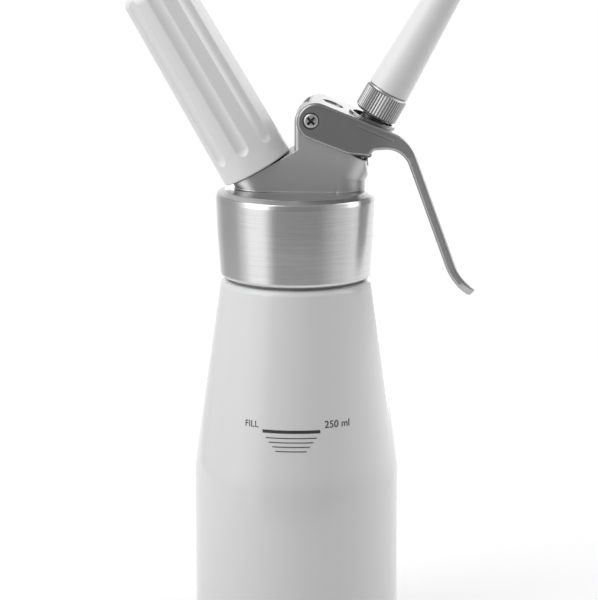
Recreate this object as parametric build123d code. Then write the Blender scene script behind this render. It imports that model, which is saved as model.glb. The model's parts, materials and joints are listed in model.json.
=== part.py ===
from build123d import *
import math
import os

os.makedirs("parts", exist_ok=True)

# Driving dimensions in millimetres. Origin: centre of the bottle's foot, +Z up, lever towards +X.

# Bottle
BODY_R = 35.2
BODY_STRAIGHT = 56.0
CONE_TOP_R = 26.05
SHOULDER_Z = 121.9
WALL = 1.2
FLOOR_WALL = 1.6
SHOULDER_WALL = 1.5
FOOT_INNER_R = 27.0
HOLLOW_R = 20.0
FOOT_HOLLOW = 2.6
BASE_ROUND = 5.0
CONE_BLEND = 30.0
SHOULDER_ROUND = 2.2
NECK_R = 22.2
NECK_BORE_R = 19.8
RIM_Z = 142.0

# Collar of the head
COLLAR_BOTTOM_Z = 122.9
COLLAR_BOTTOM_R = 26.1
COLLAR_BELLY_R = 27.25
COLLAR_BELLY_Z = 138.0
COLLAR_BELLY_ROUND = 200.0
COLLAR_FOOT_ROUND = 1.5
COLLAR_TOP_R = 27.75
COLLAR_WALL_Z = 150.1
BEVEL_R = 27.25
BEVEL_Z = 151.9
SHELF_R = 24.7
SHELF_Z = 153.2
SHELF_ROUND = 2.5
COLLAR_BORE_R = 23.5
GASKET_SEAT_Z = 144.0
PILOT_R = 19.6
PILOT_Z = 142.4

# Axes of valve and charger, as angles from the vertical and points in the plane Y = 0
VALVE_TILT = 29.5
VALVE_X, VALVE_Z = 26.95, 179.2
PORT_TILT = 30.0
PORT_X, PORT_Z = -13.4, 160.4

# Bosses on the head: a flat-sided web with a round end at the port and at the valve
BOSS_HALF = 8.3
BOSS_FLOOR_Z = 147.0
NECK_LEFT_X = -0.3
NECK_RIGHT_X = 9.75
NECK_TOP_Z = 182.6
NECK_ROUND = 1.6
NECK_CORNER_LEFT = 4.9
NECK_CORNER_RIGHT = 4.1
SHELF_FILLET = 0.4
PORT_END_OFFSET = 1.9
VALVE_FOOT_X = 15.45
VALVE_FOOT_TOP_Z = 158.8
PORT_FACE = -0.6
VALVE_FACE = -14.8

# Lever
PIVOT_X, PIVOT_Z = 5.55, 178.4
LEVER_SLOPE = 22.0
ARM_SLOPE = 19.5
ARM_INNER = (47.2, 140.1)
TIP_SLOPE = 50.0
TIP_INNER = (59.9, 116.9)
BEND_R = 12.5
FLICK_R = 22.0
SHEET = 2.2
ARM_THICK = 3.5
PLATE_TOP = 6.75
CHEEK_INNER = 8.6
CHEEK_OUTER = 10.7
CHEEK_END_R = 6.6
CHEEK_END_X = 1.75
CHEEK_FOOT = ((27.0, 168.3, 1.6), (25.4, 166.2, 1.4), (18.4, 166.7, 6.0))
ARCH_Z = 168.9
ARCH_R = 8.0
ARM_TAPER_Z = 166.0
ARM_HALF_END = 7.6
ARM_END_Z = 116.4
ARM_END_ROUND = 6.0
EDGE_ROUND = 1.1
SLOT_ALONG = 19.3
SLOT_LENGTH = 14.4
SLOT_WIDTH = 10.4
SLOT_RIM = 0.6
SLOT_RIM_WIDTH = 1.2
DIMPLE_ALONG = 4.9
DIMPLE_R = 3.7
DIMPLE_DEPTH = 0.5
GROOVE_ALONG = 22.0
GROOVE_LENGTH = 13.0
GROOVE_WIDTH = 0.5
GROOVE_DEPTH = 0.35
SCREW_HEAD_R = 2.65
SCREW_SHOULDER_R = 2.0
SCREW_THREAD_R = 1.5
SCREW_END_Y = 3.2
SCREW_SEAT_Y = 9.4
SCREW_HEAD_Y = 11.05
SCREW_DOME = 0.15
SCREW_HEAD_ROUND = 0.9
SCREW_HEAD_GAP = 0.35
RECESS_LENGTH = 3.5
RECESS_WIDTH = 0.95
RECESS_DEPTH = 1.1
RECESS_TAPER = 20
PIVOT_PLAY = 0.06

# Valve stem, measured along its axis from the lower face of the knurled nut
STEM_R = 4.3
STEM_THREAD_ROOT_R = 3.9
STEM_TOP = 6.6
STEM_BORE_R = 2.0
STEM_SHOULDER_R = 4.9
STEM_SHOULDER_TOP = -7.6
STEM_SHOULDER_BOTTOM = -8.8
STEM_WAIST_R = 2.9
STEM_WAIST_TOP = -30.0
STEM_WAIST_TAPER = 1.4
STEM_BORE_BOTTOM = -36.0
CROSS_HOLE = -34.0
CROSS_HOLE_R = 1.2
SEAT = -40.0
STEM_END = -44.8
STEM_SPIGOT_R = 1.9
VALVE_CLEARANCE = 0.06
CROWN_R = 14.0
CROWN_TOP = -4.6
WASHER_R = 7.8
GLAND_R = 6.9
GLAND_BOTTOM = -18.5
GLAND_TOP = -17.3
RING_POCKET_R = 5.9
RING_POCKET_BOTTOM = -20.4
RING_GAP = 0.03
SEAL_R = 5.2
SEAL_THICK = 1.5
SEAL_POCKET_R = 6.2
SEAL_NUT_R = 4.3
SEAL_NUT_HEIGHT = 2.4
SPRING_R = 5.75
SPRING_WIRE = 1.0
SPRING_TURNS = 4
SPRING_GAP = 0.1

# Nozzle, measured on the same axis
NUT_R = 7.55
NUT_ROOT_R = 7.33
NUT_TEETH = 48
NUT_HEIGHT = 9.3
NUT_CHAMFER = 0.9
NUT_BEVEL = 0.45
NUT_BORE_R = 4.45
SPIGOT_R = 5.7
SPIGOT_BOTTOM = 7.4
NOZZLE_BASE = 9.6
NOZZLE_BASE_R = 7.25
NOZZLE_END = 66.0
NOZZLE_END_R = 5.2
NOZZLE_WALL = 1.6
NOZZLE_HOLE_R = 2.0
NOZZLE_SLOTS = 6
NOZZLE_SLOT_WIDTH = 1.3
NOZZLE_SLOT_DEPTH = 4.6

# Charger and holder, measured along the port's axis from the holder's mouth
HOLDER_MOUTH_R = 12.65
HOLDER_END_R = 11.75
HOLDER_LENGTH = 73.0
HOLDER_END_ROUND = 3.2
FLUTES = 8
FLUTE_R = 3.8
FLUTE_DEPTH = 0.95
FLUTE_START = 9.5
FLUTE_EDGE = 0.7
SLEEVE_R = 10.0
SLEEVE_MOUTH_R = 11.4
SLEEVE_MOUTH_LENGTH = 12.0
SLEEVE_THREAD_R = 10.15
SLEEVE_BORE_R = 9.2
SLEEVE_END = 71.4
CHARGER_R = 8.9
CHARGER_NECK_R = 4.3
CHARGER_HOLE_R = 1.75
CHARGER_WALL = 1.3
CHARGER_TIP = 5.45
CHARGER_END = 70.45
PORT_TUBE_R = 9.55
PORT_TUBE_TOP = 9.5
PORT_SPIGOT_R = 8.0
PORT_SPIGOT_BOTTOM = -9.0
PORT_RECESS_R = 4.7
PORT_RECESS_BOTTOM = 4.2
PIN_R = 1.6
PIN_TIP = 7.0
PIN_BORE_R = 0.45
PIN_SHANK_TOP = 5.2
PIN_FLANGE_R = 2.8
PIN_FLANGE_TOP = -5.0
PIN_FLANGE_BOTTOM = -7.0
CHECK_TOP = -16.5
CHECK_BOTTOM = -19.5
CHECK_R = 3.4
CHECK_CUP_R = 2.7
CHECK_DISC_R = 2.6
CHECK_DISC = 1.05
PASSAGE_R = 1.3

# Free play between a seal and its seat, and the reach of cuts that go right through
SEAT_PLAY = 0.05
SIDE_PLAY = 0.1
THROUGH = 60.0


def tilted(x, z, angle):
    """Plane at (x, 0, z) whose Z leans by angle from the vertical towards +X."""
    lean = math.radians(angle)
    return Plane(
        origin=(x, 0, z),
        x_dir=(math.cos(lean), 0, -math.sin(lean)),
        z_dir=(math.sin(lean), 0, math.cos(lean)),
    )


VALVE = tilted(VALVE_X, VALVE_Z, VALVE_TILT)
PORT = tilted(PORT_X, PORT_Z, -PORT_TILT)


def flat(*corners):
    """Closed face in the plane Z = 0 through (x, y) or (x, y, corner radius)."""
    points = [Vector(c[0], c[1]) for c in corners]
    radii = [c[2] if len(c) > 2 else 0 for c in corners]
    count = len(corners)
    starts, ends, edges = [], [], []
    for i in range(count):
        here = points[i]
        back = (points[i - 1] - here).normalized()
        ahead = (points[(i + 1) % count] - here).normalized()
        if radii[i] == 0:
            starts.append(here)
            ends.append(here)
            continue
        half = math.radians(back.get_angle(ahead)) / 2
        reach = radii[i] / math.tan(half)
        middle = here + (back + ahead).normalized() * (radii[i] / math.sin(half) - radii[i])
        starts.append(here + back * reach)
        ends.append(here + ahead * reach)
        edges.append(ThreePointArc(starts[i], middle, ends[i]))
    for i in range(count):
        follow = starts[(i + 1) % count]
        if (follow - ends[i]).length > 1e-4:
            edges.append(Line(ends[i], follow))
    return make_face(edges)


def outline(*corners):
    """Closed face in the plane Y = 0 through (x, z) or (x, z, corner radius)."""
    return Plane.XZ * flat(*corners)


def spin(*corners):
    """Solid of revolution about Z of a half section through (radius, height[, corner radius])."""
    return revolve(outline(*corners), Axis.Z)


def rod(radius, bottom, top):
    """Cylinder on the Z axis between two heights."""
    return Pos(0, 0, bottom) * Cylinder(radius, top - bottom, align=(Align.CENTER, Align.CENTER, Align.MIN))


def ring(outer, inner, bottom, top):
    """Plain ring on the Z axis."""
    return rod(outer, bottom, top) - rod(inner, bottom - 1, top + 1)


def slab(face, half):
    """Face in the plane Y = 0 thickened to both sides."""
    return extrude(face, amount=half, both=True)


def bottle():
    """Thin-walled bottle: raised foot, straight body, long cone, round shoulder and plain neck."""
    cone_slope = (BODY_R - CONE_TOP_R) / (SHOULDER_Z - BODY_STRAIGHT)
    inner_top = SHOULDER_Z - SHOULDER_WALL
    inner_top_r = BODY_R - WALL - cone_slope * (inner_top - BODY_STRAIGHT)
    return spin(
        (0, FOOT_HOLLOW),
        (HOLLOW_R, FOOT_HOLLOW, 6),
        (FOOT_INNER_R, 0, 2),
        (BODY_R, 0, BASE_ROUND),
        (BODY_R, BODY_STRAIGHT, CONE_BLEND),
        (CONE_TOP_R, SHOULDER_Z, SHOULDER_ROUND),
        (NECK_R, SHOULDER_Z, 0.6),
        (NECK_R, RIM_Z, 0.5),
        (NECK_BORE_R, RIM_Z, 0.5),
        (NECK_BORE_R, inner_top, 0.8),
        (inner_top_r, inner_top, 1.0),
        (BODY_R - WALL, BODY_STRAIGHT, CONE_BLEND - WALL),
        (BODY_R - WALL, FLOOR_WALL, BASE_ROUND - WALL),
        (FOOT_INNER_R, FLOOR_WALL, 3.5),
        (HOLLOW_R, FOOT_HOLLOW + FLOOR_WALL, 4.5),
        (0, FOOT_HOLLOW + FLOOR_WALL),
    )


def on_plate(along, above):
    """Point (x, z) by its place along the lever's plate and above the pivot."""
    slope = math.radians(LEVER_SLOPE)
    x = PIVOT_X + along * math.cos(slope) + above * math.sin(slope)
    z = PIVOT_Z - along * math.sin(slope) + above * math.cos(slope)
    return x, z


def lean_x(x, z, angle, height):
    """x at a height on the line through (x, z) that leans by angle from the vertical."""
    return x + (height - z) * math.tan(math.radians(angle))


def boss_block():
    """Web between the two round ends, blended into a wide plate at the level of the shelf."""
    end_x = PORT_X - PORT_END_OFFSET * math.cos(math.radians(PORT_TILT))
    end_z = PORT_Z - PORT_END_OFFSET * math.sin(math.radians(PORT_TILT))
    tall = NECK_TOP_Z + BOSS_HALF
    web = outline(
        (lean_x(end_x, end_z, -PORT_TILT, BOSS_FLOOR_Z), BOSS_FLOOR_Z),
        (lean_x(VALVE_X, VALVE_Z, VALVE_TILT, BOSS_FLOOR_Z), BOSS_FLOOR_Z),
        (lean_x(VALVE_X, VALVE_Z, VALVE_TILT, tall), tall),
        (lean_x(end_x, end_z, -PORT_TILT, tall), tall),
    )
    bosses = slab(web, BOSS_HALF)
    bosses += tilted(end_x, end_z, -PORT_TILT) * rod(BOSS_HALF, -THROUGH, THROUGH)
    bosses += VALVE * rod(BOSS_HALF, -THROUGH, THROUGH)
    bosses += Pos(VALVE_FOOT_X, 0, 0) * rod(BOSS_HALF, BOSS_FLOOR_Z, VALVE_FOOT_TOP_Z)
    plate_r = 2 * COLLAR_TOP_R
    bosses &= rod(3 * plate_r, BOSS_FLOOR_Z, tall)
    block = rod(plate_r, BOSS_FLOOR_Z, SHELF_Z) + bosses
    foot = [
        edge
        for edge in block.edges()
        if abs((edge @ 0).Z - SHELF_Z) < 0.01
        and abs((edge @ 0.5).Z - SHELF_Z) < 0.01
        and math.hypot((edge @ 0.5).X, (edge @ 0.5).Y) < plate_r - 1
    ]
    return fillet(foot, SHELF_FILLET)


def boss_skyline():
    """Upper outline of the bosses: sloping port face, neck for the lever, sloping valve face."""
    port_slope = math.tan(math.radians(PORT_TILT))
    valve_slope = math.tan(math.radians(VALVE_TILT))
    rim_x, _, rim_z = PORT.from_local_coords(Vector(0, 0, PORT_FACE))
    face_x, _, face_z = VALVE.from_local_coords(Vector(0, 0, VALVE_FACE))
    reach = 1.6 * COLLAR_TOP_R
    return outline(
        (-reach, rim_z - (reach + rim_x) * port_slope),
        (NECK_LEFT_X, rim_z + (NECK_LEFT_X - rim_x) * port_slope),
        (NECK_LEFT_X, NECK_TOP_Z, NECK_CORNER_LEFT),
        (NECK_RIGHT_X, NECK_TOP_Z, NECK_CORNER_RIGHT),
        (NECK_RIGHT_X, face_z + (face_x - NECK_RIGHT_X) * valve_slope),
        (reach, face_z + (face_x - reach) * valve_slope),
        (reach, COLLAR_BOTTOM_Z),
        (-reach, COLLAR_BOTTOM_Z),
    )


def head_body():
    """Cast head: turned collar, flat-sided bosses for port, valve and lever, and the bores."""
    collar = spin(
        (0, PILOT_Z),
        (PILOT_R, PILOT_Z),
        (PILOT_R, GASKET_SEAT_Z),
        (COLLAR_BORE_R, GASKET_SEAT_Z),
        (COLLAR_BORE_R, COLLAR_BOTTOM_Z, 0.5),
        (COLLAR_BOTTOM_R, COLLAR_BOTTOM_Z, COLLAR_FOOT_ROUND),
        (COLLAR_BELLY_R, COLLAR_BELLY_Z, COLLAR_BELLY_ROUND),
        (COLLAR_TOP_R, COLLAR_WALL_Z, 0.5),
        (BEVEL_R, BEVEL_Z, 0.6),
        (SHELF_R, SHELF_Z, SHELF_ROUND),
        (0, SHELF_Z),
    )
    bosses = boss_block() & slab(boss_skyline(), 2 * COLLAR_TOP_R)
    bosses &= rod(SHELF_R, BOSS_FLOOR_Z, BOSS_FLOOR_Z + THROUGH)
    neck_edges = [
        edge
        for edge in bosses.edges()
        if abs(abs((edge @ 0.5).Y) - BOSS_HALF) < 0.01
        and (edge @ 0.5).X < NECK_LEFT_X + 0.1
        and (edge @ 0.5).Z > PIVOT_Z - BOSS_HALF
    ]
    head = collar + fillet(neck_edges, NECK_ROUND)
    cuts = [
        VALVE * rod(STEM_R + VALVE_CLEARANCE, -THROUGH, THROUGH),
        VALVE * rod(GLAND_R, GLAND_BOTTOM, THROUGH),
        VALVE * rod(RING_POCKET_R, RING_POCKET_BOTTOM, THROUGH),
        VALVE * rod(SEAL_POCKET_R, -THROUGH, SEAT),
        PORT * rod(PORT_SPIGOT_R, PORT_SPIGOT_BOTTOM, THROUGH),
        PORT * rod(PASSAGE_R, -THROUGH, THROUGH),
        PORT * rod(CHECK_R, -THROUGH, CHECK_TOP),
        Pos(PIVOT_X, 0, PIVOT_Z) * Rot(90, 0, 0) * Cylinder(SCREW_THREAD_R, 3 * BOSS_HALF),
    ]
    for cut in cuts:
        head -= cut
    return head


def meet(p, p_dir, q, q_dir):
    """Point where two lines of the plane Y = 0 cross."""
    det = p_dir[0] * q_dir[1] - p_dir[1] * q_dir[0]
    t = ((q[0] - p[0]) * q_dir[1] - (q[1] - p[1]) * q_dir[0]) / det
    return p[0] + t * p_dir[0], p[1] + t * p_dir[1]


def lever_blank():
    """Side view of cheeks and arm across the whole width, narrowed to the tip, and the pocket under it."""
    slope = math.radians(LEVER_SLOPE)
    arm = math.radians(ARM_SLOPE)
    tip = math.radians(TIP_SLOPE)
    plate_dir = (math.cos(slope), -math.sin(slope))
    arm_dir = (math.sin(arm), -math.cos(arm))
    tip_dir = (math.sin(tip), -math.cos(tip))
    arm_outer = (ARM_INNER[0] + ARM_THICK * math.cos(arm), ARM_INNER[1] + ARM_THICK * math.sin(arm))
    tip_outer = (TIP_INNER[0] + ARM_THICK * math.cos(tip), TIP_INNER[1] + ARM_THICK * math.sin(tip))
    bend_outer = meet(on_plate(0, PLATE_TOP), plate_dir, arm_outer, arm_dir)
    bend_inner = meet(on_plate(0, PLATE_TOP - SHEET), plate_dir, ARM_INNER, arm_dir)
    flick_outer = meet(arm_outer, arm_dir, tip_outer, tip_dir)
    flick_inner = meet(ARM_INNER, arm_dir, TIP_INNER, tip_dir)
    arch = meet((0, ARCH_Z), (1, 0), ARM_INNER, arm_dir)
    end = CHEEK_END_X - CHEEK_END_R
    side_view = outline(
        (*on_plate(end, PLATE_TOP), CHEEK_END_R),
        (*bend_outer, BEND_R),
        (*flick_outer, FLICK_R - ARM_THICK),
        tip_outer,
        TIP_INNER,
        (*flick_inner, FLICK_R),
        (*arch, ARCH_R),
        *CHEEK_FOOT,
        (*on_plate(end, PLATE_TOP - 2 * CHEEK_END_R), CHEEK_END_R - 0.2),
    )
    front_view = flat(
        (-CHEEK_OUTER, PIVOT_Z + THROUGH),
        (-CHEEK_OUTER, ARM_TAPER_Z),
        (-ARM_HALF_END, ARM_END_Z, ARM_END_ROUND),
        (ARM_HALF_END, ARM_END_Z, ARM_END_ROUND),
        (CHEEK_OUTER, ARM_TAPER_Z),
        (CHEEK_OUTER, PIVOT_Z + THROUGH),
    )
    pocket = outline(
        on_plate(-2 * CHEEK_END_R, PLATE_TOP - SHEET),
        (*bend_inner, BEND_R - SHEET),
        ARM_INNER,
        (0, ARM_INNER[1]),
        on_plate(-2 * CHEEK_END_R, -2 * CHEEK_END_R),
    )
    blank = slab(side_view, CHEEK_OUTER) & extrude(Plane.YZ * front_view, amount=2 * THROUGH)
    return blank, slab(pocket, CHEEK_INNER)


def lever():
    """Stirrup lever: plate, two cheeks and arm with rounded edges, slot with raised rim, pivot seats."""
    blank, pocket = lever_blank()
    rims = [
        edge
        for edge in blank.edges()
        if abs((edge % 0.5).Y) < 0.9 or (edge @ 0.5).X > TIP_INNER[0] - EDGE_ROUND
    ]
    body = fillet(rims, EDGE_ROUND) - pocket
    slot = tilted(*on_plate(SLOT_ALONG, PLATE_TOP), LEVER_SLOPE)
    rim = SlotOverall(SLOT_LENGTH + 2 * SLOT_RIM_WIDTH, SLOT_WIDTH + 2 * SLOT_RIM_WIDTH)
    body += slot * extrude(rim, amount=SLOT_RIM)
    body -= slot * extrude(SlotOverall(SLOT_LENGTH, SLOT_WIDTH), amount=3 * SHEET, both=True)
    dimple = tilted(*on_plate(DIMPLE_ALONG, PLATE_TOP), LEVER_SLOPE)
    body -= dimple * rod(DIMPLE_R, -DIMPLE_DEPTH, SHEET)
    groove = tilted(*on_plate(GROOVE_ALONG, PLATE_TOP - SHEET - GROOVE_WIDTH / 2), LEVER_SLOPE)
    groove *= Box(GROOVE_LENGTH, 2 * GROOVE_DEPTH, GROOVE_WIDTH)
    for side in (-1, 1):
        body -= Pos(0, side * CHEEK_OUTER, 0) * groove
        pivot = Pos(PIVOT_X, 0, PIVOT_Z) * Rot(side * 90, 0, 0)
        body -= pivot * rod(SCREW_SHOULDER_R + PIVOT_PLAY, 0, CHEEK_OUTER + SHEET)
        body -= pivot * rod(SCREW_HEAD_R + SCREW_HEAD_GAP, SCREW_SEAT_Y, CHEEK_OUTER + SHEET)
    return body


def pivot_screws():
    """Two shoulder screws with domed heads and cross recesses."""
    seat = SCREW_SEAT_Y + PIVOT_PLAY
    screw = spin(
        (0, SCREW_END_Y),
        (SCREW_THREAD_R, SCREW_END_Y, 0.4),
        (SCREW_THREAD_R, BOSS_HALF),
        (SCREW_SHOULDER_R, BOSS_HALF),
        (SCREW_SHOULDER_R, seat),
        (SCREW_HEAD_R, seat),
        (SCREW_HEAD_R, SCREW_HEAD_Y - SCREW_DOME, SCREW_HEAD_ROUND),
        (0, SCREW_HEAD_Y),
    )
    for turn in (45, 135):
        blade = Rectangle(RECESS_LENGTH, RECESS_WIDTH)
        recess = extrude(blade, amount=-RECESS_DEPTH, taper=RECESS_TAPER)
        screw -= Pos(0, 0, SCREW_HEAD_Y) * Rot(0, 0, turn) * recess
    return [Pos(PIVOT_X, 0, PIVOT_Z) * Rot(side * 90, 0, 0) * screw for side in (-1, 1)]


def valve_stem():
    """Hollow stem with a shoulder for the washer, a waist with cross holes and a spigot."""
    stem = spin(
        (0, STEM_TOP),
        (0, STEM_END),
        (STEM_SPIGOT_R, STEM_END, 0.3),
        (STEM_SPIGOT_R, SEAT),
        (STEM_WAIST_R, SEAT),
        (STEM_WAIST_R, STEM_WAIST_TOP - STEM_WAIST_TAPER),
        (STEM_R, STEM_WAIST_TOP),
        (STEM_R, STEM_SHOULDER_BOTTOM),
        (STEM_SHOULDER_R, STEM_SHOULDER_BOTTOM),
        (STEM_SHOULDER_R, STEM_SHOULDER_TOP),
        (STEM_THREAD_ROOT_R, STEM_SHOULDER_TOP),
        (STEM_THREAD_ROOT_R, STEM_TOP, 0.5),
    )
    stem -= rod(STEM_BORE_R, STEM_BORE_BOTTOM, STEM_TOP + 1)
    for turn in (0, 90):
        hole = Rot(0, 0, turn) * Rot(90, 0, 0) * Cylinder(CROSS_HOLE_R, 4 * STEM_WAIST_R)
        stem -= Pos(0, 0, CROSS_HOLE) * hole
    return VALVE * stem


def push_washer():
    """Washer with a crown across the lever's slot, so that the plate rolls on it."""
    crown = Pos(0, 0, CROWN_TOP - CROWN_R) * Rot(90, 0, 0) * Cylinder(CROWN_R, 3 * WASHER_R)
    washer = ring(WASHER_R, STEM_THREAD_ROOT_R, STEM_SHOULDER_TOP, CROWN_TOP + 1) & crown
    return VALVE * washer


def gland_ring():
    """Ring that closes the O-ring's pocket and carries the spring."""
    return VALVE * ring(GLAND_R, STEM_R + SIDE_PLAY, GLAND_BOTTOM, GLAND_TOP)


def stem_o_ring():
    """O-ring in its pocket round the stem."""
    section = (RING_POCKET_R - STEM_R) / 2 - RING_GAP
    middle = (RING_POCKET_R + STEM_R) / 2
    return VALVE * Pos(0, 0, RING_POCKET_BOTTOM + section + SEAT_PLAY) * Torus(middle, section)


def helix_path(radius, bottom, top, turns, lead):
    """Open wire of arc pairs, one pair to each quarter turn, with a straight lead at each end."""
    steps = 4 * turns
    rise = (top - bottom) / steps

    def place(step):
        turn = math.radians(90 * step)
        return Vector(radius * math.cos(turn), radius * math.sin(turn), bottom + rise * step)

    def heading(step):
        turn = math.radians(90 * step)
        speed = radius * math.pi / 2
        return Vector(-speed * math.sin(turn), speed * math.cos(turn), rise).normalized()

    edges = [Line(place(0) - heading(0) * lead, place(0))]
    for step in range(steps):
        p, q = place(step), place(step + 1)
        a, b = heading(step), heading(step + 1)
        chord, both = q - p, a + b
        square = both.dot(both) - 4
        mixed = -2 * chord.dot(both)
        reach = (-mixed - math.sqrt(mixed * mixed - 4 * square * chord.dot(chord))) / (2 * square)
        first, second = p + a * reach, q - b * reach
        join = (first + second) * 0.5
        edges.append(TangentArc(p, join, tangent=a))
        edges.append(TangentArc(join, q, tangent=(second - first).normalized()))
    edges.append(Line(place(steps), place(steps) + heading(steps) * lead))
    return Wire(edges)


def least_gap(path, wire, turns):
    """Smallest clear distance between neighbouring turns, from points on the path."""
    count = 60 * turns
    points = [path.position_at(i / count) for i in range(count + 1)]
    apart = count // (2 * turns)
    nearest = min(
        (points[i] - points[j]).length
        for i in range(len(points))
        for j in range(i + apart, len(points))
    )
    return nearest - wire


def stem_spring():
    """Return spring: one round wire wound between gland ring and washer."""
    half_wire = SPRING_WIRE / 2
    path = helix_path(
        SPRING_R,
        GLAND_TOP + half_wire + SPRING_GAP,
        STEM_SHOULDER_TOP - half_wire - SPRING_GAP,
        SPRING_TURNS,
        SPRING_WIRE,
    )
    print("stem_spring least gap to itself", round(least_gap(path, SPRING_WIRE, SPRING_TURNS), 3), "mm")
    start = Plane(origin=path @ 0, z_dir=path % 0)
    return VALVE * sweep(start * Circle(half_wire), path=path)


def stem_seal():
    """Rubber washer below the valve's seat."""
    return VALVE * ring(SEAL_R, STEM_SPIGOT_R, SEAT - SEAT_PLAY - SEAL_THICK, SEAT - SEAT_PLAY)


def seal_nut():
    """Hexagon nut on the stem's spigot."""
    top = SEAT - SEAT_PLAY - SEAL_THICK
    hexagon = extrude(RegularPolygon(SEAL_NUT_R, 6), amount=-SEAL_NUT_HEIGHT)
    nut = Pos(0, 0, top) * hexagon - rod(STEM_SPIGOT_R, top - 2 * SEAL_NUT_HEIGHT, top + 1)
    return VALVE * nut


def nozzle_gasket():
    """Flat seal on top of the stem."""
    return VALVE * ring(NUT_BORE_R - SIDE_PLAY, STEM_BORE_R, STEM_TOP + SEAT_PLAY, SPIGOT_BOTTOM)


def nozzle_adapter():
    """Knurled nut: straight teeth between a chamfer below and a smooth bevel on top."""
    points = []
    for i in range(2 * NUT_TEETH):
        turn = math.pi * i / NUT_TEETH
        radius = NUT_R if i % 2 == 0 else NUT_ROOT_R
        points.append((radius * math.cos(turn), radius * math.sin(turn)))
    teeth = extrude(make_face(Polyline(*points, close=True)), amount=NUT_HEIGHT)
    clear_r = NUT_R + 0.02
    limit = spin(
        (0, 0),
        (NUT_R - NUT_CHAMFER, 0),
        (clear_r, NUT_CHAMFER),
        (clear_r, NUT_HEIGHT - 2 * NUT_BEVEL),
        (NUT_R - NUT_BEVEL, NUT_HEIGHT - NUT_BEVEL),
        (NUT_R - 1.4 * NUT_BEVEL, NUT_HEIGHT),
        (0, NUT_HEIGHT),
    )
    nut = teeth & limit
    nut -= rod(NUT_BORE_R, -1, NUT_HEIGHT + 1)
    nut -= rod(SPIGOT_R, SPIGOT_BOTTOM, NUT_HEIGHT + 1)
    return VALVE * nut


def nozzle_tip():
    """Tapered white nozzle with a spigot below and a slotted round end."""
    nozzle = spin(
        (STEM_BORE_R, SPIGOT_BOTTOM),
        (SPIGOT_R, SPIGOT_BOTTOM),
        (SPIGOT_R, NOZZLE_BASE),
        (NOZZLE_BASE_R, NOZZLE_BASE, 0.4),
        (NOZZLE_END_R, NOZZLE_END, 3.0),
        (NOZZLE_HOLE_R, NOZZLE_END),
        (NOZZLE_HOLE_R, NOZZLE_END - NOZZLE_WALL),
        (NOZZLE_END_R - NOZZLE_WALL, NOZZLE_END - 2 * NOZZLE_WALL, 1.0),
        (NOZZLE_BASE_R - 1.5 * NOZZLE_WALL, NOZZLE_BASE + 5.0, 3.0),
        (STEM_BORE_R, NOZZLE_BASE + 1.5, 1.0),
    )
    for i in range(NOZZLE_SLOTS):
        spoke = Box(NOZZLE_BASE_R, NOZZLE_SLOT_WIDTH, 2 * NOZZLE_SLOT_DEPTH)
        spoke = Pos(NOZZLE_BASE_R / 2, 0, NOZZLE_END) * spoke
        nozzle -= Rot(0, 0, i * 360 / NOZZLE_SLOTS + 30) * spoke
    return VALVE * nozzle


def head_gasket():
    """Flat seal between rim and head."""
    return ring(COLLAR_BORE_R - 6 * SIDE_PLAY, PILOT_R + SIDE_PLAY, RIM_Z + SEAT_PLAY, GASKET_SEAT_Z)


def charger_port():
    """Threaded tube with a recess for the charger's neck and a seat for the pin."""
    tube = rod(PORT_TUBE_R, PORT_FACE, PORT_TUBE_TOP)
    tube = chamfer(tube.faces().sort_by(Axis.Z)[-1].edges(), 0.6)
    tube += rod(PORT_SPIGOT_R, PORT_SPIGOT_BOTTOM, PORT_FACE)
    tube -= rod(PORT_RECESS_R, PORT_RECESS_BOTTOM, PORT_TUBE_TOP + 1)
    tube -= rod(PIN_R, PORT_SPIGOT_BOTTOM - 1, PORT_TUBE_TOP)
    tube -= rod(PIN_FLANGE_R, PORT_SPIGOT_BOTTOM - 1, PIN_FLANGE_TOP)
    return PORT * tube


def piercing_pin():
    """Hollow pin with a flange below and a pointed tip."""
    pin = spin(
        (PIN_BORE_R, PIN_FLANGE_BOTTOM),
        (PIN_FLANGE_R, PIN_FLANGE_BOTTOM),
        (PIN_FLANGE_R, PIN_FLANGE_TOP),
        (PIN_R, PIN_FLANGE_TOP),
        (PIN_R, PIN_SHANK_TOP),
        (2 * PIN_BORE_R, PIN_SHANK_TOP + PIN_BORE_R),
        (PIN_BORE_R + SEAT_PLAY, PIN_TIP),
        (PIN_BORE_R, PIN_TIP),
    )
    return PORT * pin


def charger_seal():
    """Ring on which the charger's neck seals."""
    return PORT * ring(PORT_RECESS_R, PIN_R + SEAT_PLAY, PORT_RECESS_BOTTOM, CHARGER_TIP - SEAT_PLAY)


def check_valve():
    """Rubber disc over the gas passage."""
    top = CHECK_TOP - SEAT_PLAY
    return PORT * rod(CHECK_DISC_R, top - CHECK_DISC, top)


def check_valve_cage():
    """Perforated cup pressed into the head."""
    cage = rod(CHECK_R, CHECK_BOTTOM, CHECK_TOP)
    cage -= rod(CHECK_CUP_R, CHECK_BOTTOM + CHECK_R - CHECK_CUP_R, CHECK_TOP + 1)
    for turn in (0, 120, 240):
        hole = Pos(CHECK_CUP_R / 2, 0, 0) * rod(CHECK_CUP_R / 4, CHECK_BOTTOM - 1, CHECK_TOP)
        cage -= Rot(0, 0, turn) * hole
    return PORT * cage


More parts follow.
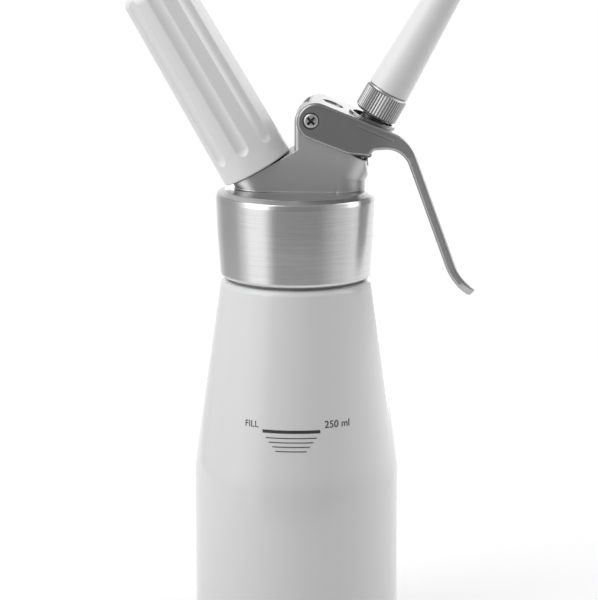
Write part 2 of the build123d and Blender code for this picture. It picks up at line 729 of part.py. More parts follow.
def holder_sleeve():
    """Metal cup with a wider threaded mouth."""
    sleeve = spin(
        (SLEEVE_THREAD_R, 0.5),
        (SLEEVE_MOUTH_R, 0.5),
        (SLEEVE_MOUTH_R, SLEEVE_MOUTH_LENGTH),
        (SLEEVE_R, SLEEVE_MOUTH_LENGTH + 1.4),
        (SLEEVE_R, SLEEVE_END, 4.0),
        (0, SLEEVE_END),
        (0, CHARGER_END + SEAT_PLAY),
        (SLEEVE_BORE_R, CHARGER_END + SEAT_PLAY, 8.6),
        (SLEEVE_BORE_R, SLEEVE_MOUTH_LENGTH - 0.5),
        (SLEEVE_THREAD_R, SLEEVE_MOUTH_LENGTH - 1.5),
    )
    return PORT * sleeve


def holder_cover():
    """Fluted plastic cover round the sleeve."""
    cover = spin(
        (SLEEVE_MOUTH_R, 0),
        (HOLDER_MOUTH_R, 0, 0.6),
        (HOLDER_END_R, HOLDER_LENGTH - 0.6, HOLDER_END_ROUND),
        (0, HOLDER_LENGTH),
        (0, SLEEVE_END),
        (SLEEVE_R, SLEEVE_END, 4.0),
        (SLEEVE_R, SLEEVE_MOUTH_LENGTH + 1.4),
        (SLEEVE_MOUTH_R, SLEEVE_MOUTH_LENGTH),
    )
    taper = math.atan((HOLDER_MOUTH_R - HOLDER_END_R) / HOLDER_LENGTH)
    start_r = HOLDER_MOUTH_R - FLUTE_START * math.tan(taper) + FLUTE_R - FLUTE_DEPTH
    cutter = rod(FLUTE_R, 0, 2 * THROUGH) + Sphere(FLUTE_R)
    cutter = Pos(0, -start_r, FLUTE_START) * Rot(-math.degrees(taper), 0, 0) * cutter
    for i in range(FLUTES):
        cover -= Rot(0, 0, i * 360 / FLUTES) * cutter
    flute_edges = [edge for edge in cover.edges() if edge.geom_type == GeomType.BSPLINE]
    return PORT * fillet(flute_edges, FLUTE_EDGE)


def gas_charger():
    """Pierced steel cylinder with round bottom and slim neck."""
    shoulder = CHARGER_TIP + 9.5
    inner_r = CHARGER_R - CHARGER_WALL
    charger = spin(
        (CHARGER_HOLE_R, CHARGER_TIP),
        (CHARGER_NECK_R, CHARGER_TIP, 0.8),
        (CHARGER_NECK_R, shoulder, 2.5),
        (CHARGER_R, shoulder + 7.0, 6.0),
        (CHARGER_R, CHARGER_END, 8.6),
        (0, CHARGER_END),
        (0, CHARGER_END - CHARGER_WALL),
        (inner_r, CHARGER_END - CHARGER_WALL, 7.2),
        (inner_r, shoulder + 8.0, 4.0),
        (CHARGER_HOLE_R, shoulder + 1.5),
    )
    return PORT * charger


NODES = {
    "bottle": bottle,
    "head_gasket": head_gasket,
    "head_body": head_body,
    "charger_port": charger_port,
    "piercing_pin": piercing_pin,
    "charger_seal": charger_seal,
    "check_valve": check_valve,
    "check_valve_cage": check_valve_cage,
    "gland_ring": gland_ring,
    "stem_o_ring": stem_o_ring,
    "stem_spring": stem_spring,
    "pivot_screws": pivot_screws,
    "lever": lever,
    "valve_stem": valve_stem,
    "push_washer": push_washer,
    "stem_seal": stem_seal,
    "seal_nut": seal_nut,
    "nozzle_gasket": nozzle_gasket,
    "nozzle_adapter": nozzle_adapter,
    "nozzle_tip": nozzle_tip,
    "gas_charger": gas_charger,
    "holder_sleeve": holder_sleeve,
    "holder_cover": holder_cover,
}

for name, make in NODES.items():
    shape = make()
    solids = shape if isinstance(shape, list) else [shape]
    solids = [s for part in solids for s in part.solids()]
    volume = sum(s.volume for s in solids)
    print(name, len(solids), "solids", round(volume, 1), "mm3", all(s.is_valid for s in solids))
    whole = solids[0] if len(solids) == 1 else Compound(children=solids)
    whole.label = name
    export_step(whole, f"parts/{name}.step")
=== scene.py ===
import json
import math

import bpy
from mathutils import Matrix, Vector


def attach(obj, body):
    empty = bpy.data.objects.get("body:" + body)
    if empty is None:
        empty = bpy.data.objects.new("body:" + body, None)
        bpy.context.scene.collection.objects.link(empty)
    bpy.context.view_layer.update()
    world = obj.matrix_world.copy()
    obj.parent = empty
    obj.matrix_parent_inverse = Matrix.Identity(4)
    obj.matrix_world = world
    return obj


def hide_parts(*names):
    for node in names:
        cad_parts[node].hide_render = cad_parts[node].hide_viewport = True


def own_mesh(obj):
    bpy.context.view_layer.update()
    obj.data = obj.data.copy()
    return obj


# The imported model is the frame: +Z up, lever towards +X, camera on the -Y side. Sizes are in metres.
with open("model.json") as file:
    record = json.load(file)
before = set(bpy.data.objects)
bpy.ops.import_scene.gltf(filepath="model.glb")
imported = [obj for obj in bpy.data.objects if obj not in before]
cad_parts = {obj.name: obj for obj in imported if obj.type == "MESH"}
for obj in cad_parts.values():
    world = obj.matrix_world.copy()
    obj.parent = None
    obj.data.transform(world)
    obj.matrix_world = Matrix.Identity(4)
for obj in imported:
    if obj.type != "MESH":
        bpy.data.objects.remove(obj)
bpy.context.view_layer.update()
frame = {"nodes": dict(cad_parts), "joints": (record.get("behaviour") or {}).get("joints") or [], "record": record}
nodes = frame["nodes"]
joints = {joint["name"]: joint for joint in frame["joints"]}
MM = 0.001
MICRON = 0.001 * MM

# Camera; turns run from the front towards the lever, and turns and rises are in degrees
VIEW_TURN = 3.2
VIEW_RISE = 11.6
VIEW_DISTANCE = 1.5
VIEW_TARGET = Vector((0.87, 0.0, 113.86)) * MM
VIEW_LENS = 259.7

# World: strength that shows as white, and strength that lights the object
WHITE = 1.0
WORLD_LIGHT = 0.3

# Floor
FLOOR_RADIUS = 0.32
FLOOR_CENTRE_Y = 0.12
FLOOR_SIDES = 64
FLOOR_ALBEDO = 0.5
FLOOR_GLOW = 0.55

# Studio wall, with its brightness at turns, and the roof that it fades into
WALL_RADIUS = 2.6
WALL_BOTTOM = -1.2
WALL_TOP = 2.2
WALL_SIDES = 96
WALL_TONES = (
    (-180, 1.2), (-170, 1.1), (-158, 0.9), (-144, 0.7), (-130, 0.5), (-98, 0.5),
    (-82, 0.85), (-69, 1.35), (-45, 1.35), (-39, 0.85), (-29, 0.3),
    (36, 0.28), (52, 0.48), (66, 0.7), (100, 1.0), (122, 1.2), (180, 1.2),
)
ROOF_TOP = 2.8
ROOF_TONE = 0.4
ROOF_FADE_LOW = 1.0
ROOF_FADE_HIGH = 2.0

# Lamps
LAMP_DISTANCE = 1.3
SOFTBOXES = {
    "key_softbox": {"turn": -62, "rise": 44, "width": 1.0, "height": 1.2, "radiance": 2.3},
    "fill_softbox": {"turn": 106, "rise": 32, "width": 1.0, "height": 1.0, "radiance": 1.9},
    "rim_softbox": {"turn": 173, "rise": 2, "width": 0.7, "height": 0.7, "radiance": 1.4},
}

# Colour sockets of a Mix node
MIX_FIRST = 6
MIX_SECOND = 7
MIX_RESULT = 2

# Finishes: part of a noise's range that is spread out, samples of soft edges, and turn of the lathe's lines
NOISE_LOW = 0.15
NOISE_HIGH = 0.85
EDGE_SAMPLES = 6
QUARTER_TURN = 0.25

# Head: turned collar, fine shelf and cast bosses, with roughness and anisotropy at heights
COLLAR_EDGE_Z = 151.5 * MM
SHELF_Z = 153.2 * MM
HEAD_BANDS = (
    (COLLAR_EDGE_Z - 1.0 * MM, 0.26, 0.65),
    (COLLAR_EDGE_Z, 0.26, 0.2),
    (SHELF_Z + 0.05 * MM, 0.24, 0.1),
    (SHELF_Z + 0.6 * MM, 0.42, 0.0),
)
HEAD_EDGE = 0.4 * MM

# Painted shade on the seat of the charger holder on the head, standing in for the dark gap under the holder: its
# place along and from the port's axis, its soft border and its tone
SEAT_Z = -0.6 * MM
SEAT_R = 12.6 * MM
SEAT_BORDER = 0.1 * MM
SEAT_SHADE_TONE = 0.06

# Lever: softness of its edges, and where along X the painted light that makes its arm lighter than its cheeks
# begins and is full
LEVER_EDGE = 0.2 * MM
ARM_LIGHT_START_X = 26.0 * MM
ARM_LIGHT_FULL_X = 38.0 * MM

# Painted shade in the recesses of the pivot screws' heads, from and along the pivot's axis, and how far it fades
RECESS_REACH = 1.75 * MM
RECESS_BORDER = 0.1 * MM
RECESS_TOP_Y = 10.85 * MM
RECESS_FADE = 0.35 * MM

# Painted shade between the teeth of the knurled nut, from its axis, and the tone of all painted shade on the steel
GROOVE_R = 7.36 * MM
GROOVE_BORDER = 0.1 * MM
TOOTH_R = 7.5 * MM
PAINTED_SHADE_TONE = 0.2

# Meshes made here: angle from which an edge stays sharp
SHARP_ANGLE = math.radians(35)

# Return spring, along its axis
SPRING_BOTTOM = -17.3 * MM
SPRING_TOP = -7.6 * MM
SPRING_R = 5.75 * MM
SPRING_WIRE = 1.0 * MM
SPRING_TURNS = 4.5
SPRING_DEAD_TURNS = 0.75
SPRING_STEPS = 36
WIRE_SIDES = 12

# Threads in millimetres: radii of root and crest, pitch, and where they begin and end along their axes
THREADS = {
    "stem_thread": {"root": 3.85, "crest": 4.25, "pitch": 1.25, "bottom": -4.4, "top": 6.2},
    "port_thread": {"root": 9.5, "crest": 10.0, "pitch": 2.0, "bottom": 0.4, "top": 8.6},
    "neck_thread": {"root": 22.1, "crest": 23.1, "pitch": 4.0, "bottom": 126.0, "top": 139.5},
}

# Ridge of a thread: steps in a turn and in its run-out, half widths in pitches, and least share of its height
THREAD_STEPS = 48
RUN_OUT_STEPS = 16
ROOT_HALF = 0.42
CREST_HALF = 0.1
LEAST_RIDGE = 0.05

# Bottle cone that carries the fill mark
CONE_FOOT_R = 35.2 * MM
CONE_FOOT_Z = 56.0 * MM
CONE_TOP_R = 26.05 * MM
CONE_TOP_Z = 121.9 * MM

# Fill mark: thick line, narrowing lines below it, and words beside it
PRINT_RELIEF = 0.07 * MM
LINE_STEPS = 24
FILL_LINE_Z = 74.5 * MM
FILL_LINE_HALF = 10.0 * MM
FILL_LINE_THICK = 1.05 * MM
STEP_LINES = 4
STEP_THICK = 0.28 * MM
STEP_FIRST_DROP = 2.15 * MM
STEP_DROP = 1.5 * MM
STEP_FIRST_HALF = 8.8 * MM
STEP_NARROWING = 1.15 * MM
WORD_Z = 75.6 * MM
WORD_GAP = 1.5 * MM
WORD_SIZE = 3.1 * MM
NUMBER_SIZE = 3.5 * MM
LETTER_STEPS = 4


def direction(turn, rise):
    """Unit vector away from the object."""
    turn = math.radians(turn)
    rise = math.radians(rise)
    return Vector((math.sin(turn) * math.cos(rise), -math.cos(turn) * math.cos(rise), math.sin(rise)))


def grey(level):
    """Neutral colour."""
    return (level, level, level, 1)


def circle(radius, sides, height, centre_y=0.0):
    """Points of a level circle."""
    points = []
    for i in range(sides):
        turn = 2 * math.pi * i / sides
        points.append((radius * math.sin(turn), centre_y - radius * math.cos(turn), height))
    return points


def aim(thing, target):
    """Turns a camera or lamp to look at a point."""
    thing.rotation_euler = (target - thing.location).to_track_quat("-Z", "Y").to_euler()


def show(name, data):
    """New object in the scene."""
    thing = bpy.data.objects.new(name, data)
    bpy.context.scene.collection.objects.link(thing)
    return thing


def add_node(tree, kind, **settings):
    """New node with its settings."""
    made = tree.nodes.new(kind)
    for name, value in settings.items():
        setattr(made, name, value)
    return made


def scale(tree, value, low, high, start, end, course="LINEAR"):
    """Socket that goes from start to end while a value goes from low to high."""
    node = add_node(tree, "ShaderNodeMapRange", interpolation_type=course)
    limits = {"From Min": low, "From Max": high, "To Min": start, "To Max": end}
    for name, limit in limits.items():
        node.inputs[name].default_value = limit
    tree.links.new(value, node.inputs["Value"])
    return node.outputs["Result"]


def shade_ramp(ramp, stops):
    """Sets a colour ramp to grey levels at positions from 0 to 1."""
    while len(ramp.elements) > 1:
        ramp.elements.remove(ramp.elements[0])
    for i, (position, level) in enumerate(stops):
        stop = ramp.elements[0] if i == 0 else ramp.elements.new(position)
        stop.position = position
        stop.color = grey(level)


def seen_rays(tree):
    """Socket that is 1 for rays that show a thing directly, in a reflection or through glass."""
    rays = add_node(tree, "ShaderNodeLightPath")
    seen = rays.outputs["Is Camera Ray"]
    for kind in ("Is Glossy Ray", "Is Transmission Ray"):
        either = add_node(tree, "ShaderNodeMath", operation="MAXIMUM")
        tree.links.new(seen, either.inputs[0])
        tree.links.new(rays.outputs[kind], either.inputs[1])
        seen = either.outputs["Value"]
    return seen


def empty_material(name):
    """Material without nodes."""
    material = bpy.data.materials.new(name)
    material.use_nodes = True
    material.node_tree.nodes.clear()
    return material


def add_camera():
    """The photograph's viewing angle through a long lens."""
    lens = bpy.data.cameras.new("camera")
    lens.lens = VIEW_LENS
    camera = show("camera", lens)
    camera.location = VIEW_TARGET + direction(VIEW_TURN, VIEW_RISE) * VIEW_DISTANCE
    aim(camera, VIEW_TARGET)
    bpy.context.scene.camera = camera


def add_softbox(name, turn, rise, width, height, radiance):
    """Rectangular lamp of even brightness that looks at the object from one side."""
    lamp = bpy.data.lights.new(name, "AREA")
    lamp.shape = "RECTANGLE"
    lamp.size = width
    lamp.size_y = height
    lamp.energy = radiance * math.pi * width * height
    softbox = show(name, lamp)
    softbox.location = VIEW_TARGET + direction(turn, rise) * LAMP_DISTANCE
    softbox.visible_camera = False
    aim(softbox, VIEW_TARGET)


def add_world():
    """White surroundings that light the object less than they show."""
    world = bpy.data.worlds.new("white_studio")
    world.use_nodes = True
    tree = world.node_tree
    background = tree.nodes["Background"]
    background.inputs["Color"].default_value = grey(WHITE)
    tree.links.new(scale(tree, seen_rays(tree), 0, 1, WORLD_LIGHT, WHITE), background.inputs["Strength"])
    bpy.context.scene.world = world


def wall_glow():
    """Light of the wall, which changes round it and fades into the roof's."""
    material = empty_material("studio_wall")
    tree = material.node_tree
    link = tree.links.new
    place = add_node(tree, "ShaderNodeTexCoord").outputs["Object"]
    turned = add_node(tree, "ShaderNodeMapping")
    turned.inputs["Rotation"].default_value = (0, 0, math.pi / 2)
    around = add_node(tree, "ShaderNodeTexGradient", gradient_type="RADIAL")
    brightest = max(level for _, level in WALL_TONES)
    tones = add_node(tree, "ShaderNodeValToRGB")
    tones.color_ramp.interpolation = "EASE"
    shade_ramp(tones.color_ramp, [(turn / 360 + 0.5, level / brightest) for turn, level in WALL_TONES])
    parts = add_node(tree, "ShaderNodeSeparateXYZ")
    level = add_node(tree, "ShaderNodeMix", data_type="RGBA")
    level.inputs[MIX_SECOND].default_value = grey(ROOF_TONE / brightest)
    glow = add_node(tree, "ShaderNodeEmission")
    glow.inputs["Strength"].default_value = brightest
    out = add_node(tree, "ShaderNodeOutputMaterial")
    link(place, turned.inputs["Vector"])
    link(turned.outputs["Vector"], around.inputs["Vector"])
    link(around.outputs["Fac"], tones.inputs["Fac"])
    link(place, parts.inputs["Vector"])
    fade = scale(tree, parts.outputs["Z"], ROOF_FADE_LOW, ROOF_FADE_HIGH, 0, 1, "SMOOTHSTEP")
    link(fade, level.inputs["Factor"])
    link(tones.outputs["Color"], level.inputs[MIX_FIRST])
    link(level.outputs[MIX_RESULT], glow.inputs["Color"])
    link(glow.outputs["Emission"], out.inputs["Surface"])
    return material


def add_wall():
    """Studio wall and roof, darker at the front, which light the object but aren't seen by the camera."""
    corners = [(0, 0, ROOF_TOP)]
    corners += circle(WALL_RADIUS, WALL_SIDES, WALL_BOTTOM)
    corners += circle(WALL_RADIUS, WALL_SIDES, WALL_TOP)
    low, high = 1, 1 + WALL_SIDES
    faces = []
    for i in range(WALL_SIDES):
        ahead = (i + 1) % WALL_SIDES
        faces.append((low + i, low + ahead, high + ahead, high + i))
        faces.append((high + i, high + ahead, 0))
    mesh = bpy.data.meshes.new("studio_wall")
    mesh.from_pydata(corners, [], faces)
    mesh.materials.append(wall_glow())
    wall = show("studio_wall", mesh)
    wall.visible_camera = False


def floor_paper():
    """Pale paper that is white where it is seen, apart from shadows, and lights the object less."""
    material = empty_material("pale_floor")
    tree = material.node_tree
    link = tree.links.new
    paper = add_node(tree, "ShaderNodeBsdfDiffuse")
    paper.inputs["Color"].default_value = grey(FLOOR_ALBEDO)
    glow = add_node(tree, "ShaderNodeEmission")
    glow.inputs["Strength"].default_value = FLOOR_GLOW
    lit = add_node(tree, "ShaderNodeAddShader")
    choice = add_node(tree, "ShaderNodeMixShader")
    out = add_node(tree, "ShaderNodeOutputMaterial")
    link(paper.outputs["BSDF"], lit.inputs[0])
    link(glow.outputs["Emission"], lit.inputs[1])
    link(seen_rays(tree), choice.inputs["Fac"])
    link(paper.outputs["BSDF"], choice.inputs[1])
    link(lit.outputs["Shader"], choice.inputs[2])
    link(choice.outputs["Shader"], out.inputs["Surface"])
    return material


def add_floor():
    """Round floor that takes the object's soft shadow."""
    mesh = bpy.data.meshes.new("floor")
    mesh.from_pydata(circle(FLOOR_RADIUS, FLOOR_SIDES, 0, FLOOR_CENTRE_Y), [], [tuple(range(FLOOR_SIDES))])
    mesh.materials.append(floor_paper())
    floor = show("floor", mesh)


class Finish:
    """Principled material whose detail comes from noise and from places in the frame."""

    def __init__(self, name, **sockets):
        self.material = bpy.data.materials.new(name)
        self.material.use_nodes = True
        self.tree = self.material.node_tree
        self.link = self.tree.links.new
        self.shader = self.tree.nodes["Principled BSDF"]
        for socket, value in sockets.items():
            self.shader.inputs[socket].default_value = value

    def node(self, kind, **settings):
        """New node in the material."""
        return add_node(self.tree, kind, **settings)

    def spot(self):
        """Place of a point in the frame."""
        return self.node("ShaderNodeTexCoord").outputs["Object"]

    def place(self, axis):
        """Coordinate in the frame along X, Y or Z."""
        parts = self.node("ShaderNodeSeparateXYZ")
        self.link(self.spot(), parts.inputs["Vector"])
        return parts.outputs[axis]

    def about(self, joint):
        """Distances along and from a joint's axis."""
        away = self.node("ShaderNodeVectorMath", operation="SUBTRACT")
        away.inputs[1].default_value = joint["pos_m"]
        along = self.node("ShaderNodeVectorMath", operation="DOT_PRODUCT")
        along.inputs[1].default_value = joint["axis"]
        across = self.node("ShaderNodeVectorMath", operation="CROSS_PRODUCT")
        across.inputs[1].default_value = joint["axis"]
        radius = self.node("ShaderNodeVectorMath", operation="LENGTH")
        self.link(self.spot(), away.inputs[0])
        self.link(away.outputs["Vector"], along.inputs[0])
        self.link(away.outputs["Vector"], across.inputs[0])
        self.link(across.outputs["Vector"], radius.inputs[0])
        return along.outputs["Value"], radius.outputs["Value"]

    def noise(self, grain, stretch=(1, 1, 1), detail=2.0):
        """Noise of a grain size, stretched along the axes."""
        stretched = self.node("ShaderNodeMapping", vector_type="TEXTURE")
        stretched.inputs["Scale"].default_value = stretch
        cells = self.node("ShaderNodeTexNoise")
        cells.inputs["Scale"].default_value = 1 / grain
        cells.inputs["Detail"].default_value = detail
        self.link(self.spot(), stretched.inputs["Vector"])
        self.link(stretched.outputs["Vector"], cells.inputs["Vector"])
        return cells.outputs["Fac"]

    def spread(self, noise, low, high):
        """Noise as a value between low and high."""
        return scale(self.tree, noise, NOISE_LOW, NOISE_HIGH, low, high)

    def between(self, value, low, high, start, end):
        """Value that goes softly from start to end while another goes from low to high."""
        return scale(self.tree, value, low, high, start, end, "SMOOTHSTEP")

    def steps(self, value, stops):
        """Level that follows a value through stops of (value, level)."""
        low, high = stops[0][0], stops[-1][0]
        ramp = self.node("ShaderNodeValToRGB")
        shade_ramp(ramp.color_ramp, [((at - low) / (high - low), level) for at, level in stops])
        self.link(scale(self.tree, value, low, high, 0, 1), ramp.inputs["Fac"])
        return ramp.outputs["Color"]

    def compute(self, operation, *values):
        """Result of a Math node."""
        result = self.node("ShaderNodeMath", operation=operation)
        for value, socket in zip(values, result.inputs):
            self.link(value, socket)
        return result.outputs["Value"]

    def blend(self, share, first, second):
        """Grey between two, each a level or a socket, by a share from 0 to 1."""
        mix = self.node("ShaderNodeMix", data_type="RGBA")
        for socket, tone in ((mix.inputs[MIX_FIRST], first), (mix.inputs[MIX_SECOND], second)):
            if isinstance(tone, float):
                socket.default_value = grey(tone)
            else:
                self.link(tone, socket)
        self.link(share, mix.inputs["Factor"])
        return mix.outputs[MIX_RESULT]

    def tone(self, noise, dark, light):
        """Grey that varies between two with a noise."""
        return self.blend(self.spread(noise, 0, 1), dark, light)

    def set(self, socket, output):
        """Shader socket that follows an output."""
        self.link(output, self.shader.inputs[socket])

    def tint(self, noise, dark, light):
        """Base colour that varies between two greys with a noise."""
        self.set("Base Color", self.tone(noise, dark, light))

    def rough(self, noise, low, high):
        """Roughness that varies with a noise."""
        self.set("Roughness", self.spread(noise, low, high))

    def turned(self, amount):
        """Anisotropy, given as a socket, of a surface turned on a lathe about Z."""
        tangent = self.node("ShaderNodeTangent", direction_type="RADIAL", axis="Z")
        self.set("Tangent", tangent.outputs["Tangent"])
        self.set("Anisotropic", amount)
        self.shader.inputs["Anisotropic Rotation"].default_value = QUARTER_TURN

    def soft_edges(self, radius):
        """Edges that catch the light as if rounded by a radius; comes before any bump."""
        rounded = self.node("ShaderNodeBevel", samples=EDGE_SAMPLES)
        rounded.inputs["Radius"].default_value = radius
        self.set("Normal", rounded.outputs["Normal"])

    def bump(self, relief, height):
        """Relief of a height, on top of soft edges and bumps made before."""
        raised = self.node("ShaderNodeBump")
        raised.inputs["Strength"].default_value = 1.0
        raised.inputs["Distance"].default_value = height
        before = self.shader.inputs["Normal"].links
        if before:
            self.link(before[0].from_socket, raised.inputs["Normal"])
        self.link(relief, raised.inputs["Height"])
        self.set("Normal", raised.outputs["Normal"])


def white_lacquer():
    """Sprayed glossy lacquer with a faint orange peel."""
    finish = Finish("white_lacquer", IOR=1.5)
    finish.tint(finish.noise(0.9 * MM), dark=0.798, light=0.802)
    finish.rough(finish.noise(0.9 * MM), low=0.09, high=0.11)
    finish.bump(finish.noise(1.6 * MM), height=1.2 * MICRON)
    return finish.material


def seat_shade_share(finish):
    """Share that is 1 on the holder's seat, where painted shade darkens the gap under the holder."""
    along, radius = finish.about(joints["holder_unscrew"])
    above = finish.between(along, SEAT_Z - SEAT_BORDER, SEAT_Z - SEAT_BORDER / 2, 0, 1)
    inside = finish.between(radius, SEAT_R - SEAT_BORDER, SEAT_R, 1, 0)
    return finish.compute("MULTIPLY", above, inside)


def head_metal():
    """Aluminium, turned on the collar, faced on the shelf, satin above it, and painted near black on the holder's
    seat as painted shade for the gap under the holder.
    """
    finish = Finish("head_metal", Metallic=1.0)
    finish.soft_edges(HEAD_EDGE)
    height = finish.place("Z")
    on_collar = finish.between(height, COLLAR_EDGE_Z, SHELF_Z, 1, 0)
    lines = finish.noise(0.3 * MM, stretch=(60, 60, 1), detail=2)
    cast = finish.tone(finish.noise(5 * MM, detail=4), dark=0.59, light=0.63)
    bare = finish.blend(on_collar, cast, finish.tone(lines, dark=0.56, light=0.66))
    # Painted shade: the holder's seat is painted near black to darken the gap under the holder
    finish.set("Base Color", finish.blend(seat_shade_share(finish), bare, SEAT_SHADE_TONE))
    finish.set("Roughness", finish.steps(height, [(z, rough) for z, rough, _ in HEAD_BANDS]))
    finish.turned(finish.steps(height, [(z, amount) for z, _, amount in HEAD_BANDS]))
    finish.bump(finish.compute("MULTIPLY", lines, on_collar), height=5 * MICRON)
    finish.bump(finish.noise(0.4 * MM, detail=1), height=2 * MICRON)
    return finish.material


def lever_metal():
    """Satin aluminium, darker than the head, with the arm painted lighter than the cheeks as painted light."""
    finish = Finish("lever_metal", Metallic=1.0)
    finish.soft_edges(LEVER_EDGE)
    clouds = finish.noise(5 * MM, detail=4)
    cheeks = finish.tone(clouds, dark=0.345, light=0.375)
    # Painted light: the arm gets a lighter grey than the cheeks, for how light falls on it
    lit_arm_tone = finish.tone(clouds, dark=0.465, light=0.495)
    lit_arm_share = finish.between(finish.place("X"), ARM_LIGHT_START_X, ARM_LIGHT_FULL_X, 0, 1)
    finish.set("Base Color", finish.blend(lit_arm_share, cheeks, lit_arm_tone))
    finish.rough(finish.noise(1.5 * MM), low=0.3, high=0.35)
    finish.bump(finish.noise(0.4 * MM, detail=1), height=2 * MICRON)
    return finish.material


def white_plastic():
    """Moulded white plastic with a soft sheen."""
    finish = Finish("white_plastic", IOR=1.5)
    finish.tint(finish.noise(20 * MM, detail=3), dark=0.86, light=0.89)
    finish.rough(finish.noise(3 * MM), low=0.34, high=0.42)
    finish.bump(finish.noise(0.7 * MM), height=3 * MICRON)
    return finish.material


def screw_recess_shade(finish):
    """Share of painted shade in the pivot screws' recesses."""
    along, radius = finish.about(joints["lever_squeeze"])
    near = finish.between(radius, RECESS_REACH, RECESS_REACH + RECESS_BORDER, 1, 0)
    out = finish.compute("ABSOLUTE", along)
    deep = finish.between(out, RECESS_TOP_Y - RECESS_FADE, RECESS_TOP_Y, 1, 0)
    return finish.compute("MULTIPLY", near, deep)


def nut_groove_shade(finish):
    """Share of painted shade between the knurled nut's teeth."""
    _, radius = finish.about(joints["nozzle_unscrew"])
    under_teeth = finish.between(radius, GROOVE_R, TOOTH_R, 1, 0)
    outside = finish.between(radius, GROOVE_R - 2 * GROOVE_BORDER, GROOVE_R - GROOVE_BORDER, 0, 1)
    return finish.compute("MULTIPLY", under_teeth, outside)


def polished_steel():
    """Plated steel, with painted shade in the pivot screws' recesses and between the nut's teeth."""
    finish = Finish("polished_steel", Metallic=1.0)
    unshaded = finish.tone(finish.noise(2 * MM), dark=0.56, light=0.6)
    # Painted shade darkens the screw recesses and the grooves between the nut's teeth
    painted_shade = finish.compute("MAXIMUM", screw_recess_shade(finish), nut_groove_shade(finish))
    finish.set("Base Color", finish.blend(painted_shade, unshaded, PAINTED_SHADE_TONE))
    finish.rough(finish.noise(1 * MM), low=0.36, high=0.44)
    return finish.material


def plain_steel():
    """Drawn steel, painted very dark as painted shade for the gaps and threads where it shows."""
    finish = Finish("plain_steel", Metallic=1.0)
    # Painted shade: the steel's grey is set very dark
    finish.tint(finish.noise(2 * MM), dark=0.14, light=0.2)
    finish.rough(finish.noise(1 * MM), low=0.34, high=0.46)
    finish.bump(finish.noise(0.4 * MM), height=4 * MICRON)
    return finish.material


def sleeve_metal():
    """Drawn aluminium cup."""
    finish = Finish("sleeve_metal", Metallic=1.0)
    finish.tint(finish.noise(4 * MM), dark=0.6, light=0.66)
    finish.rough(finish.noise(2 * MM), low=0.3, high=0.4)
    return finish.material


def seal_rubber():
    """Dark seal rubber."""
    finish = Finish("seal_rubber")
    finish.tint(finish.noise(2 * MM), dark=0.025, light=0.045)
    finish.rough(finish.noise(1 * MM), low=0.6, high=0.8)
    finish.bump(finish.noise(0.3 * MM), height=8 * MICRON)
    return finish.material


def cage_plastic():
    """Plain pale plastic."""
    finish = Finish("cage_plastic")
    finish.tint(finish.noise(3 * MM), dark=0.68, light=0.74)
    finish.rough(finish.noise(1 * MM), low=0.45, high=0.55)
    return finish.material


def mark_print():
    """Dark screen-printed ink."""
    finish = Finish("mark_print")
    finish.tint(finish.noise(1.2 * MM), dark=0.03, light=0.05)
    finish.rough(finish.noise(0.6 * MM), low=0.4, high=0.55)
    return finish.material


def make_piece(name, points, faces, finish, body):
    """Mesh piece in the frame, smooth but for its sharp edges, that rides on a body."""
    mesh = bpy.data.meshes.new(name)
    mesh.from_pydata(points, [], faces)
    mesh.polygons.foreach_set("use_smooth", [True] * len(mesh.polygons))
    mesh.set_sharp_from_angle(angle=SHARP_ANGLE)
    mesh.materials.append(finish)
    piece = show(name, mesh)
    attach(piece, body)
    return piece


def joined(loops):
    """Points and faces of a closed body through loops of equally many points, with flat ends."""
    count = len(loops[0])
    points = [point for loop in loops for point in loop]
    faces = [tuple(reversed(range(count)))]
    for row in range(len(loops) - 1):
        low, high = row * count, (row + 1) * count
        for i in range(count):
            ahead = (i + 1) % count
            faces.append((low + i, low + ahead, high + ahead, high + i))
    last = (len(loops) - 1) * count
    faces.append(tuple(last + i for i in range(count)))
    return points, faces


def axis_frame(joint):
    """Matrix from a joint's axis, with local Z along it and local X in the plane Y = 0."""
    along = Vector(joint["axis"]).normalized()
    across = Vector((0, 1, 0))
    turn = Matrix((across.cross(along).normalized(), across, along)).transposed()
    return Matrix.Translation(Vector(joint["pos_m"])) @ turn.to_4x4()


VALVE = axis_frame(joints["nozzle_unscrew"])
PORT = axis_frame(joints["holder_unscrew"])


def return_spring():
    """Wire spring with closed end turns, shown in place of the imported spring and riding on the head."""
    half_wire = SPRING_WIRE / 2
    low = SPRING_BOTTOM + half_wire
    high = SPRING_TOP - half_wire
    active = SPRING_TURNS - 2 * SPRING_DEAD_TURNS
    up = Vector((0, 0, 1))
    loops = []
    for step in range(int(SPRING_TURNS * SPRING_STEPS) + 1):
        turn = step / SPRING_STEPS
        climb = min(max((turn - SPRING_DEAD_TURNS) / active, 0), 1)
        angle = 2 * math.pi * turn
        out = Vector((math.cos(angle), math.sin(angle), 0))
        centre = out * SPRING_R + up * (low + (high - low) * climb)
        loop = []
        for side in range(WIRE_SIDES):
            lean = 2 * math.pi * side / WIRE_SIDES
            loop.append(VALVE @ (centre + (out * math.cos(lean) + up * math.sin(lean)) * half_wire))
        loops.append(loop)
    points, faces = joined(loops)
    spring = make_piece("return_spring", points, faces, FINISHES["plain_steel"], "head")
    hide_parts("stem_spring")
    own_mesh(spring)


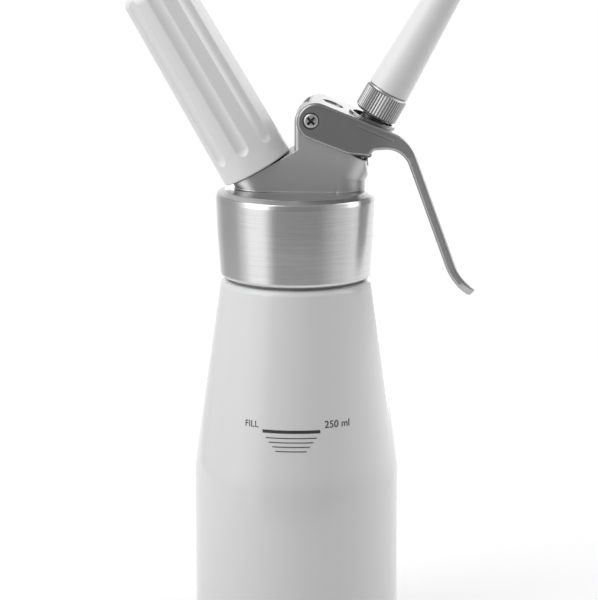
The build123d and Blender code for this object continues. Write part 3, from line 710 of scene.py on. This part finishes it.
def screw_thread(name, place, body, slot):
    """Ridge of a screw thread round the axis of a placing matrix, running out at both ends."""
    size = {measure: length * MM for measure, length in THREADS[name].items()}
    root, crest, pitch = size["root"], size["crest"], size["pitch"]
    steps = int((size["top"] - size["bottom"]) / pitch * THREAD_STEPS)
    loops = []
    for step in range(steps + 1):
        grown = min(1, step / RUN_OUT_STEPS, (steps - step) / RUN_OUT_STEPS)
        tip = root + (crest - root) * max(grown, LEAST_RIDGE)
        height = size["bottom"] + pitch * step / THREAD_STEPS
        angle = 2 * math.pi * step / THREAD_STEPS
        loop = []
        for radius, shift in ((root, -ROOT_HALF), (tip, -CREST_HALF), (tip, CREST_HALF), (root, ROOT_HALF)):
            point = Vector((radius * math.cos(angle), radius * math.sin(angle), height + shift * pitch))
            loop.append(place @ point)
        loops.append(loop)
    points, faces = joined(loops)
    make_piece(name, points, faces, FINISHES[slot], body)


def cone_point(along, height, proud):
    """Point on the bottle's cone at a length round from the front, at a height."""
    radius = CONE_FOOT_R + (CONE_TOP_R - CONE_FOOT_R) * (height - CONE_FOOT_Z) / (CONE_TOP_Z - CONE_FOOT_Z)
    turn = along / radius
    reach = radius + proud
    return Vector((reach * math.sin(turn), -reach * math.cos(turn), height))


def mark_line(name, height, half, thick):
    """Printed line round the cone."""
    low, high = height - thick / 2, height + thick / 2
    loops = []
    for step in range(LINE_STEPS + 1):
        along = half * (2 * step / LINE_STEPS - 1)
        loops.append([
            cone_point(along, low, -PRINT_RELIEF),
            cone_point(along, low, PRINT_RELIEF),
            cone_point(along, high, PRINT_RELIEF),
            cone_point(along, high, -PRINT_RELIEF),
        ])
    points, faces = joined(loops)
    make_piece(name, points, faces, PRINT, "bottle")


def mark_text(name, words, size, start, align):
    """Printed letters wrapped on the cone, beginning or ending at a length round from the front."""
    letters = bpy.data.curves.new(name, "FONT")
    letters.body = words
    letters.size = size
    letters.align_x = align
    letters.extrude = PRINT_RELIEF
    letters.resolution_u = LETTER_STEPS
    flat = show(name + "_flat", letters)
    bpy.context.view_layer.update()
    mesh = bpy.data.meshes.new_from_object(flat)
    bpy.data.objects.remove(flat)
    points = [cone_point(start + v.co.x, WORD_Z + v.co.y, v.co.z) for v in mesh.vertices]
    faces = [tuple(face.vertices) for face in mesh.polygons]
    bpy.data.meshes.remove(mesh)
    make_piece(name, points, faces, PRINT, "bottle")


def fill_mark():
    """Thick line with narrowing lines below it and words at its ends."""
    mark_line("fill_line", FILL_LINE_Z, FILL_LINE_HALF, FILL_LINE_THICK)
    for i in range(STEP_LINES):
        height = FILL_LINE_Z - STEP_FIRST_DROP - i * STEP_DROP
        mark_line(f"level_line_{i + 1}", height, STEP_FIRST_HALF - i * STEP_NARROWING, STEP_THICK)
    mark_text("fill_word", "FILL", WORD_SIZE, -FILL_LINE_HALF - WORD_GAP, "RIGHT")
    mark_text("fill_number", "250 ml", NUMBER_SIZE, FILL_LINE_HALF + WORD_GAP, "LEFT")


# Studio
add_camera()
add_world()
add_wall()
add_floor()
for lamp_name, lamp in SOFTBOXES.items():
    add_softbox(lamp_name, **lamp)
bpy.context.scene.view_settings.view_transform = "Standard"

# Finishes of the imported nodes
FINISHES = {
    "white_lacquer": white_lacquer(),
    "head_metal": head_metal(),
    "lever_metal": lever_metal(),
    "white_plastic": white_plastic(),
    "polished_steel": polished_steel(),
    "plain_steel": plain_steel(),
    "sleeve_metal": sleeve_metal(),
    "seal_rubber": seal_rubber(),
    "cage_plastic": cage_plastic(),
}
PRINT = mark_print()
for subpart in frame["record"]["subparts"]:
    for slot in nodes[subpart["node"]].material_slots:
        slot.material = FINISHES[subpart["material_slot"]]

# Pieces made here
return_spring()
screw_thread("stem_thread", VALVE, "stem", "plain_steel")
screw_thread("port_thread", PORT, "head", "plain_steel")
screw_thread("neck_thread", Matrix(), "bottle", "white_lacquer")
fill_mark()
